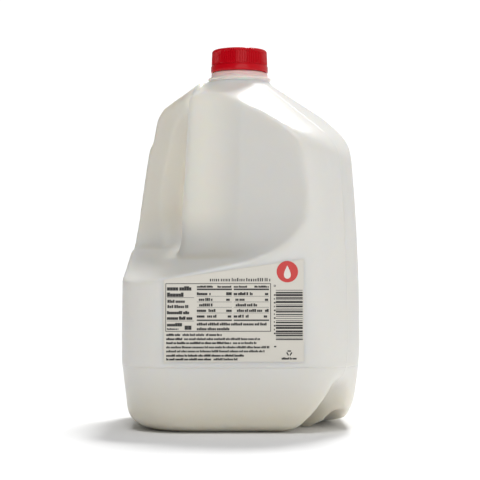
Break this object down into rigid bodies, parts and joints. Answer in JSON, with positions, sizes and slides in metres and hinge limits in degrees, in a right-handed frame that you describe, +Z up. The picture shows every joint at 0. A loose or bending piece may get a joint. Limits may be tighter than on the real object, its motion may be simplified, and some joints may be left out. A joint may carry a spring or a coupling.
{
  "type": "milk jug",
  "caption": "Full plastic milk jug with a corner handle, a sloping shelf under the handle, a narrow neck, a ribbed red screw cap and a paper-coloured label on one side.",
  "frame": {"origin": "on the floor under the middle of the jug's square footprint, on the neck's axis", "axes": "+Z up along the neck; the labelled side faces -Y; the handle stands on the corner between the -X and +Y sides"},
  "size_m": [0.1602, 0.1608, 0.2629],
  "materials": {
    "jug": "thin cloudy white plastic with milk behind it, soft sheen",
    "cap": "moulded red plastic, fine upright ribs",
    "label": "cream film with plain dark print shapes and a red disc"
  },
  "bodies": {
    "root": {"jug": "jug", "cap": "cap", "label": "label"}
  },
  "joints": []
}
